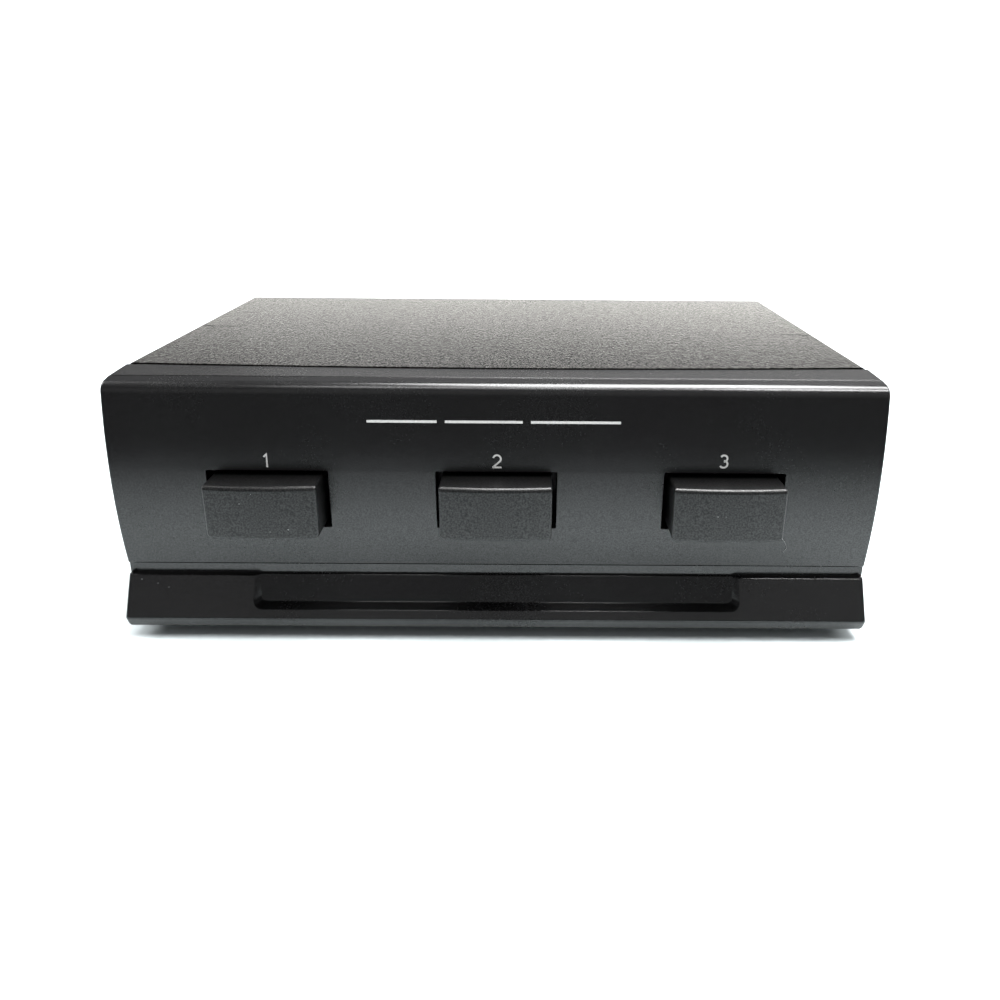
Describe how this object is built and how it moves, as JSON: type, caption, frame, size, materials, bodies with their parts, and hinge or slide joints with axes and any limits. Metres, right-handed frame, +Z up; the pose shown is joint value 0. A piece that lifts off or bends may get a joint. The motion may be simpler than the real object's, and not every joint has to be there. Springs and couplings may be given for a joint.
{
  "type": "speaker selector switch",
  "caption": "Flat metal box with a barrel-faced front bezel, a row of rectangular push buttons and spring-clip wire terminals on its rear panel.",
  "frame": {"origin": "bottom centre of the overall box, on the surface the feet stand on", "axes": "+X to the right seen from the front, +Y from the buttons to the rear terminals, +Z up"},
  "size_m": [0.1674, 0.1302, 0.0585],
  "materials": {
    "satin_black_plastic": "satin moulded",
    "black_powder_coat": "fine textured powder coat",
    "black_painted_steel": "satin paint on folded steel sheet",
    "black_rubber": "matt",
    "black_screw_steel": "black zinc",
    "zinc_screw_steel": "bright zinc",
    "board_laminate": "green solder mask on glass laminate",
    "brass_standoff": "turned",
    "switch_housing_plastic": "moulded",
    "plunger_plastic": "natural moulded",
    "spring_steel": "drawn wire",
    "contact_brass": "tin plated",
    "terminal_plastic": "moulded",
    "lever_red": "moulded",
    "lever_black": "moulded",
    "wire_insulation": "PVC insulation"
  },
  "bodies": {
    "case": {"front_bezel": "satin_black_plastic", "top_cover": "black_powder_coat", "chassis_tray": "black_painted_steel", "rubber_feet": "black_rubber", "cover_screws": "black_screw_steel", "bezel_screws": "zinc_screw_steel", "terminal_screws": "black_screw_steel", "switch_board": "board_laminate", "board_standoffs": "brass_standoff", "board_screws": "zinc_screw_steel", "switch_1_housing": "switch_housing_plastic", "switch_1_spring": "spring_steel", "switch_1_latch_pin": "spring_steel", "switch_1_fixed_pins": "contact_brass", "switch_2_housing": "switch_housing_plastic", "switch_2_spring": "spring_steel", "switch_2_latch_pin": "spring_steel", "switch_2_fixed_pins": "contact_brass", "switch_3_housing": "switch_housing_plastic", "switch_3_spring": "spring_steel", "switch_3_latch_pin": "spring_steel", "switch_3_fixed_pins": "contact_brass", "amp_terminal_block": "terminal_plastic", "amp_leaf_contacts": "contact_brass", "amp_wires": "wire_insulation", "output_1_terminal_block": "terminal_plastic", "output_1_leaf_contacts": "contact_brass", "output_1_wires": "wire_insulation", "output_2_terminal_block": "terminal_plastic", "output_2_leaf_contacts": "contact_brass", "output_2_wires": "wire_insulation", "output_3_terminal_block": "terminal_plastic", "output_3_leaf_contacts": "contact_brass", "output_3_wires": "wire_insulation"},
    "button_1": {"button_1": "satin_black_plastic", "switch_1_plunger": "plunger_plastic", "switch_1_moving_contacts": "contact_brass"},
    "button_2": {"button_2": "satin_black_plastic", "switch_2_plunger": "plunger_plastic", "switch_2_moving_contacts": "contact_brass"},
    "button_3": {"button_3": "satin_black_plastic", "switch_3_plunger": "plunger_plastic", "switch_3_moving_contacts": "contact_brass"},
    "amp_left_plus_lever": {"amp_left_plus_lever": "lever_red"},
    "amp_left_minus_lever": {"amp_left_minus_lever": "lever_black"},
    "amp_right_plus_lever": {"amp_right_plus_lever": "lever_red"},
    "amp_right_minus_lever": {"amp_right_minus_lever": "lever_black"},
    "output_1_left_plus_lever": {"output_1_left_plus_lever": "lever_red"},
    "output_1_left_minus_lever": {"output_1_left_minus_lever": "lever_black"},
    "output_1_right_plus_lever": {"output_1_right_plus_lever": "lever_red"},
    "output_1_right_minus_lever": {"output_1_right_minus_lever": "lever_black"},
    "output_2_left_plus_lever": {"output_2_left_plus_lever": "lever_red"},
    "output_2_left_minus_lever": {"output_2_left_minus_lever": "lever_black"},
    "output_2_right_plus_lever": {"output_2_right_plus_lever": "lever_red"},
    "output_2_right_minus_lever": {"output_2_right_minus_lever": "lever_black"},
    "output_3_left_plus_lever": {"output_3_left_plus_lever": "lever_red"},
    "output_3_left_minus_lever": {"output_3_left_minus_lever": "lever_black"},
    "output_3_right_plus_lever": {"output_3_right_plus_lever": "lever_red"},
    "output_3_right_minus_lever": {"output_3_right_minus_lever": "lever_black"}
  },
  "joints": [
    {"name": "button_1_press", "type": "slide", "parent": "case", "child": "button_1", "axis": [0, 1, 0], "range_m": [0, 0.005], "stiffness_N_per_m": 400, "springref_m": -0.003, "deforming": ["switch_1_spring"]},
    {"name": "button_2_press", "type": "slide", "parent": "case", "child": "button_2", "axis": [0, 1, 0], "range_m": [0, 0.005], "stiffness_N_per_m": 400, "springref_m": -0.003, "deforming": ["switch_2_spring"]},
    {"name": "button_3_press", "type": "slide", "parent": "case", "child": "button_3", "axis": [0, 1, 0], "range_m": [0, 0.005], "stiffness_N_per_m": 400, "springref_m": -0.003, "deforming": ["switch_3_spring"]},
    {"name": "amp_left_plus_lever_press", "type": "hinge", "parent": "case", "child": "amp_left_plus_lever", "pos_m": [-0.0474, 0.05211, 0.045], "axis": [-1, 0, 0], "range_deg": [0, 18], "stiffness_Nm_per_rad": 0.1, "springref_deg": -5.73},
    {"name": "amp_left_minus_lever_press", "type": "hinge", "parent": "case", "child": "amp_left_minus_lever", "pos_m": [-0.0378, 0.05211, 0.045], "axis": [-1, 0, 0], "range_deg": [0, 18], "stiffness_Nm_per_rad": 0.1, "springref_deg": -5.73},
    {"name": "amp_right_plus_lever_press", "type": "hinge", "parent": "case", "child": "amp_right_plus_lever", "pos_m": [-0.0282, 0.05211, 0.045], "axis": [-1, 0, 0], "range_deg": [0, 18], "stiffness_Nm_per_rad": 0.1, "springref_deg": -5.73},
    {"name": "amp_right_minus_lever_press", "type": "hinge", "parent": "case", "child": "amp_right_minus_lever", "pos_m": [-0.0186, 0.05211, 0.045], "axis": [-1, 0, 0], "range_deg": [0, 18], "stiffness_Nm_per_rad": 0.1, "springref_deg": -5.73},
    {"name": "output_1_left_plus_lever_press", "type": "hinge", "parent": "case", "child": "output_1_left_plus_lever", "pos_m": [0.0186, 0.05211, 0.045], "axis": [-1, 0, 0], "range_deg": [0, 18], "stiffness_Nm_per_rad": 0.1, "springref_deg": -5.73},
    {"name": "output_1_left_minus_lever_press", "type": "hinge", "parent": "case", "child": "output_1_left_minus_lever", "pos_m": [0.0282, 0.05211, 0.045], "axis": [-1, 0, 0], "range_deg": [0, 18], "stiffness_Nm_per_rad": 0.1, "springref_deg": -5.73},
    {"name": "output_1_right_plus_lever_press", "type": "hinge", "parent": "case", "child": "output_1_right_plus_lever", "pos_m": [0.0378, 0.05211, 0.045], "axis": [-1, 0, 0], "range_deg": [0, 18], "stiffness_Nm_per_rad": 0.1, "springref_deg": -5.73},
    {"name": "output_1_right_minus_lever_press", "type": "hinge", "parent": "case", "child": "output_1_right_minus_lever", "pos_m": [0.0474, 0.05211, 0.045], "axis": [-1, 0, 0], "range_deg": [0, 18], "stiffness_Nm_per_rad": 0.1, "springref_deg": -5.73},
    {"name": "output_2_left_plus_lever_press", "type": "hinge", "parent": "case", "child": "output_2_left_plus_lever", "pos_m": [-0.0474, 0.05211, 0.023], "axis": [-1, 0, 0], "range_deg": [0, 18], "stiffness_Nm_per_rad": 0.1, "springref_deg": -5.73},
    {"name": "output_2_left_minus_lever_press", "type": "hinge", "parent": "case", "child": "output_2_left_minus_lever", "pos_m": [-0.0378, 0.05211, 0.023], "axis": [-1, 0, 0], "range_deg": [0, 18], "stiffness_Nm_per_rad": 0.1, "springref_deg": -5.73},
    {"name": "output_2_right_plus_lever_press", "type": "hinge", "parent": "case", "child": "output_2_right_plus_lever", "pos_m": [-0.0282, 0.05211, 0.023], "axis": [-1, 0, 0], "range_deg": [0, 18], "stiffness_Nm_per_rad": 0.1, "springref_deg": -5.73},
    {"name": "output_2_right_minus_lever_press", "type": "hinge", "parent": "case", "child": "output_2_right_minus_lever", "pos_m": [-0.0186, 0.05211, 0.023], "axis": [-1, 0, 0], "range_deg": [0, 18], "stiffness_Nm_per_rad": 0.1, "springref_deg": -5.73},
    {"name": "output_3_left_plus_lever_press", "type": "hinge", "parent": "case", "child": "output_3_left_plus_lever", "pos_m": [0.0186, 0.05211, 0.023], "axis": [-1, 0, 0], "range_deg": [0, 18], "stiffness_Nm_per_rad": 0.1, "springref_deg": -5.73},
    {"name": "output_3_left_minus_lever_press", "type": "hinge", "parent": "case", "child": "output_3_left_minus_lever", "pos_m": [0.0282, 0.05211, 0.023], "axis": [-1, 0, 0], "range_deg": [0, 18], "stiffness_Nm_per_rad": 0.1, "springref_deg": -5.73},
    {"name": "output_3_right_plus_lever_press", "type": "hinge", "parent": "case", "child": "output_3_right_plus_lever", "pos_m": [0.0378, 0.05211, 0.023], "axis": [-1, 0, 0], "range_deg": [0, 18], "stiffness_Nm_per_rad": 0.1, "springref_deg": -5.73},
    {"name": "output_3_right_minus_lever_press", "type": "hinge", "parent": "case", "child": "output_3_right_minus_lever", "pos_m": [0.0474, 0.05211, 0.023], "axis": [-1, 0, 0], "range_deg": [0, 18], "stiffness_Nm_per_rad": 0.1, "springref_deg": -5.73}
  ]
}
